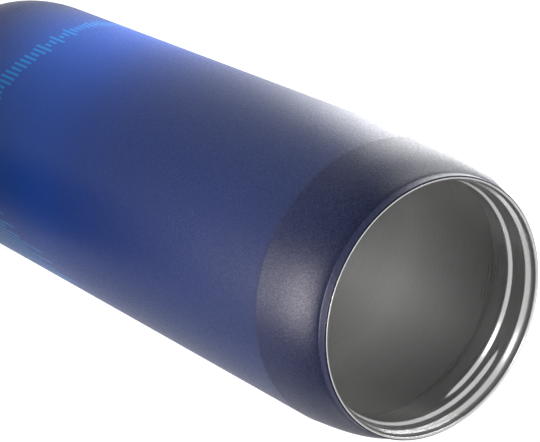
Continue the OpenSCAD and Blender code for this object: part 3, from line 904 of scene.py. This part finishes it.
def makeCover(look):
    # a turned shell: fluted rim, groove for the band, round shoulder, shallow step and the spout's hole
    outer = coverHigh.x - capCentre[0]
    top = plugHigh.z - look["spoutRise"]
    rim = coverLow.z
    roundLow = top - look["topRound"]
    groove = outer - look["grooveDepth"]
    step = look["stepRadius"]
    rise = look["stepDepth"]
    steps = 5
    lower = softened([(outer, rim), (outer, bandLow.z), (groove, bandLow.z), (groove, bandHigh.z),
                      (outer, bandHigh.z), (outer - look["wall"] - 1 * mm, bandHigh.z),
                      (outer - look["wall"] - 1 * mm, rim)], 0.3 * mm, steps)[:5 * steps]
    shoulder = arcPoints(outer - look["topRound"], roundLow, look["topRound"], 0, 90, 28)
    inner = outer - look["wall"]
    roof = top - look["wall"]
    upper = softened([(step + 3 * mm, top), (step, top), (step - rise, top - rise),
                      (look["holeRadius"], top - rise), (look["holeRadius"], roof), (step, roof)],
                     [0, 0.4 * mm, 0.4 * mm, 0.5 * mm, 0.3 * mm, 0], steps)[steps:5 * steps]
    inside = joined(arcPoints(outer - look["topRound"], roundLow, look["topRound"] - look["wall"], 90, 0, 14),
                    [(inner, look["ledgeTop"]), (inner - look["wall"], look["ledgeTop"]),
                     (inner - look["wall"], look["ledgeLow"]), (inner, look["ledgeLow"]), (inner, rim)])
    profile = joined(lower, shoulder, upper, inside)

    def withFlutes(radius, turn, height):
        onRim = (radius > outer - 0.05 * mm) & (height < bandLow.z)
        reach = hump(height, rim + 0.9 * mm, bandLow.z - 0.9 * mm, 0.5 * mm)
        wave = (1 - np.cos(turn * look["flutes"])) / 2
        return radius - np.where(onRim, look["fluteDepth"] * wave * reach, 0)

    return turned("coverShell", profile, capCentre, 864, withFlutes, 40)


def makeEar(look, side):
    # a hinge ear: a half circle on top, straight flanks, and a foot that flares out onto the cover
    radius, foot = look["earRadius"], look["earFoot"]
    low = plugHigh.z - look["earDepth"]
    share = np.linspace(0, 1, 9)
    flank = radius + (foot - radius) * (1 - share) ** 2.2
    height = low + (hingeHeight - low) * share
    right = np.stack([hingeAlong + flank, height], -1)
    crown = arcPoints(hingeAlong, hingeHeight, radius, 0, 180, 22)[1:-1]
    left = np.stack([hingeAlong - flank, height], -1)[::-1]
    first = look["earGap"] if side > 0 else -look["earGap"] - look["earThick"]
    return bar("hingeEarRight" if side > 0 else "hingeEarLeft", joined(right, crown, left), first,
               first + look["earThick"], capCentre, 0.35 * mm)


place(makeCover(coverLook), "cap_cover")
place(makeEar(coverLook, 1), "cap_cover")
place(makeEar(coverLook, -1), "cap_cover")

bandLook = {
    "ribs": 36,
    "ribWidth": 2.6,       # degrees
    "ribHeight": 0.6 * mm,
    "ribEdge": 1.6,        # degrees over which a rib rises
    "edge": 0.3 * mm,
    "plainEdge": 1.7 * mm,   # the ribs stop this far from the band's edges
    "ribFade": 0.8 * mm,
    "dimplePitch": 1.6,      # mm from one row of dimples to the next
    "dimpleDepth": 0.12 * mm,
}


def makeBand(look):
    # a rubber ring whose ribs stand out by a cosine hump of the angle and fade out short of its two edges,
    # with shallow rows pressed in between them
    outer = coverHigh.x - capCentre[0]
    inner = outer - coverLook["grooveDepth"]
    height = np.linspace(bandLow.z + look["edge"], bandHigh.z - look["edge"], 34)
    face = np.stack([np.full_like(height, outer), height], -1)
    lowEdge = arcPoints(outer - look["edge"], bandLow.z + look["edge"], look["edge"], -90, 0, 5)[:-1]
    highEdge = arcPoints(outer - look["edge"], bandHigh.z - look["edge"], look["edge"], 0, 90, 5)[1:]
    profile = joined(lowEdge, face, highEdge, [(inner, bandHigh.z), (inner, bandLow.z)])

    def withRibs(radius, turn, tall):
        pitch = 360 / look["ribs"]
        away = np.abs((np.degrees(turn) + pitch / 2) % pitch - pitch / 2)
        rib = hump(away, -1.0, look["ribWidth"] / 2, look["ribEdge"])
        reach = hump(tall, bandLow.z + look["plainEdge"], bandHigh.z - look["plainEdge"], look["ribFade"])
        rows = hump(np.abs(np.cos(tall / mm * np.pi / look["dimplePitch"])), 0.75, 1.0, 0.25)
        dimple = look["dimpleDepth"] * (1 - rib) * rows * reach
        return radius + np.where(radius > outer - 0.01 * mm, look["ribHeight"] * rib * reach - dimple, 0)

    return turned("gripBand", profile, capCentre, 1080, withRibs, 50)


place(makeBand(bandLook), "grip_band")

nozzleLook = {
    "outer": 12.56 * mm,
    "pullRadius": 13.16 * mm,
    "pullLow": 44 * mm,
    "pullTop": 46 * mm,
    "bore": 11.06 * mm,
    "catchBore": 10.26 * mm,
    "catchTop": 32 * mm,
    "roofLow": 45 * mm,
    "postHole": 3.06 * mm,
    "knurls": 60,
    "knurlDepth": 0.18 * mm,
    "tipWaist": 0.5 * mm,
    "tipBore": 3.6 * mm,
    "tipTaper": 1.6 * mm,
    "biteRound": 1.6 * mm,
}


def makeNozzle(look):
    # a sleeve with a round pull ring, knurled by a cosine of the angle, and a roof with the post's hole
    top = nozzleHigh.z
    low, pullLow, pullTop = nozzleLow.z, look["pullLow"], look["pullTop"]
    outer, ring, hole, roofLow = look["outer"], look["pullRadius"], look["postHole"], look["roofLow"]
    bore, catch, catchTop = look["bore"], look["catchBore"], look["catchTop"]
    outline = [(outer, low), (outer, pullLow), (ring, pullLow), (ring, pullTop), (outer, pullTop),
               (outer, top), (hole, top), (hole, roofLow), (bore, roofLow), (bore, catchTop),
               (catch, catchTop), (catch, low)]
    radii = np.array([0.3, 0.3, 0.5, 0.5, 0.3, 0.8, 0.15, 0.15, 0.3, 0.1, 0.1, 0.3]) * mm
    curve = softened(outline, radii, 7)

    def withKnurl(radius, turn, height):
        onRing = radius > ring - 0.12 * mm
        return radius - np.where(onRing, look["knurlDepth"] * (1 - np.cos(turn * look["knurls"])) / 2, 0)

    return turned("nozzleSleeve", curve, capCentre, 480, withKnurl, 40)


def makeTip(look):
    # a soft tip: a foot, a cosine waist, a bulb, and a rounded bite edge round the bore
    foot = tipHigh.x - capCentre[0]
    low, high = tipLow.z, tipHigh.z
    edge = look["biteRound"]
    share = np.linspace(0, 1, 26)
    height = low + (high - edge - low) * share
    waist = look["tipWaist"] * (1 - np.cos(2 * np.pi * share)) / 2
    side = foot - look["tipTaper"] * share ** 1.5 - waist
    dish = side[-1] - edge
    bite = arcPoints(dish, high - edge, edge, 0, 90, 12)[1:]
    funnel = linePoints((dish - 0.6 * mm, high), (look["tipBore"] + 0.5 * mm, high - 0.5 * mm), 6)
    bore = [(look["tipBore"], high - 1.1 * mm), (look["tipBore"], low)]
    return turned("softTip", joined(np.stack([side, height], -1), bite, funnel, bore), capCentre, 128)


place(makeNozzle(nozzleLook), "nozzle")
place(makeTip(nozzleLook), "mouthpiece")

domeLook = {
    "wall": 1.6 * mm,
    "round": 6 * mm,
    "thumbReach": 1.5 * mm,     # how far the thumb lip stands out
    "thumbWidth": 17,           # degrees
    "ringDepth": 0.25 * mm,
    "ringDrop": 1.5 * mm,       # from the round's lower end to the ring groove
    "dishDepth": 0.3 * mm,
    "dishRadius": 6.2 * mm,
    "armHeight": 3.2 * mm,
    "barrelRadius": 2.2 * mm,
    "barrelWidth": 7.4 * mm,
    "barrelOpening": 128,       # degrees from the hinge's far side to where the arm joins the barrel
    "armEnd": 2.6 * mm,         # how far from the pin's axis the straight arm ends
}


def makeDome(look):
    # a turned cup with a shallow ring groove and a shallow dish on top, and a thumb lip that stands out of
    # its rim away from the hinge
    outer = (domeHigh.x - domeLow.x) / 2
    low, high = domeLow.z, domeHigh.z
    inner = outer - look["wall"]
    corner = look["round"]
    ringAt = high - corner - look["ringDrop"]
    height = np.linspace(low + 0.4 * mm, high - corner, 46)
    side = outer - look["ringDepth"] * hump(height, ringAt - 0.2 * mm, ringAt + 0.2 * mm, 0.35 * mm)
    top = arcPoints(outer - corner, high - corner, corner, 0, 90, 26)[1:]
    dish = np.linspace(outer - corner, 0, 22)[1:]
    crown = np.stack([dish, high - look["dishDepth"] * hump(dish, 0, look["dishRadius"], 1.2 * mm)], -1)
    roof = joined([(0, high - look["wall"])],
                  arcPoints(outer - corner, high - corner, corner - look["wall"], 90, 0, 14))
    steps = 5
    rim = softened([(inner, low + 1 * mm), (inner, low), (outer, low), (outer, low + 1 * mm)],
                   [0, 0.35 * mm, 0.35 * mm, 0], steps)[steps:3 * steps]
    profile = joined(crown[::-1], top[::-1], np.stack([side, height], -1)[::-1], rim[::-1], roof[::-1])

    def withThumb(radius, turn, tall):
        away = np.abs((np.degrees(turn) + 90 + 180) % 360 - 180)
        lip = hump(away, -1.0, look["thumbWidth"] * 0.45, look["thumbWidth"] * 0.55)
        reach = hump(tall, low - 1 * mm, low + 1.1 * mm, 1.3 * mm)
        return radius + np.where(radius > outer - 0.4 * mm, look["thumbReach"] * lip * reach, 0)

    return turned("domeShell", profile, capCentre, 288, withThumb, 45)


def makeHingeArm(look):
    # a straight arm out of the dome that opens into the round of the hinge's barrel
    half, radius = look["armHeight"] / 2, look["barrelRadius"]
    start = (domeHigh.x - domeLow.x) / 2 - 1.0 * mm
    stop = hingeAlong - look["armEnd"]
    upper = linePoints((start, hingeHeight + half), (stop, hingeHeight + half), 6)
    lower = linePoints((stop, hingeHeight - half), (start, hingeHeight - half), 6)
    knuckle = arcPoints(hingeAlong, hingeHeight, radius, look["barrelOpening"], -look["barrelOpening"], 30)
    return bar("hingeArm", joined(upper, knuckle, lower), -look["barrelWidth"] / 2, look["barrelWidth"] / 2,
               capCentre, 0.3 * mm)


place(makeDome(domeLook), "dust_cover")
place(makeHingeArm(domeLook), "dust_cover")


def makePin():
    # a round pin with rounded ends
    radius = (pinHigh.z - pinLow.z) / 2
    outline = arcPoints(hingeAlong, hingeHeight, radius, 0, 352.5, 48)
    return bar("hingePin", outline, pinLow.x - capCentre[0], pinHigh.x - capCentre[0], capCentre, 0.25 * mm)


place(makePin(), "hinge_pin")
print("cap ready")
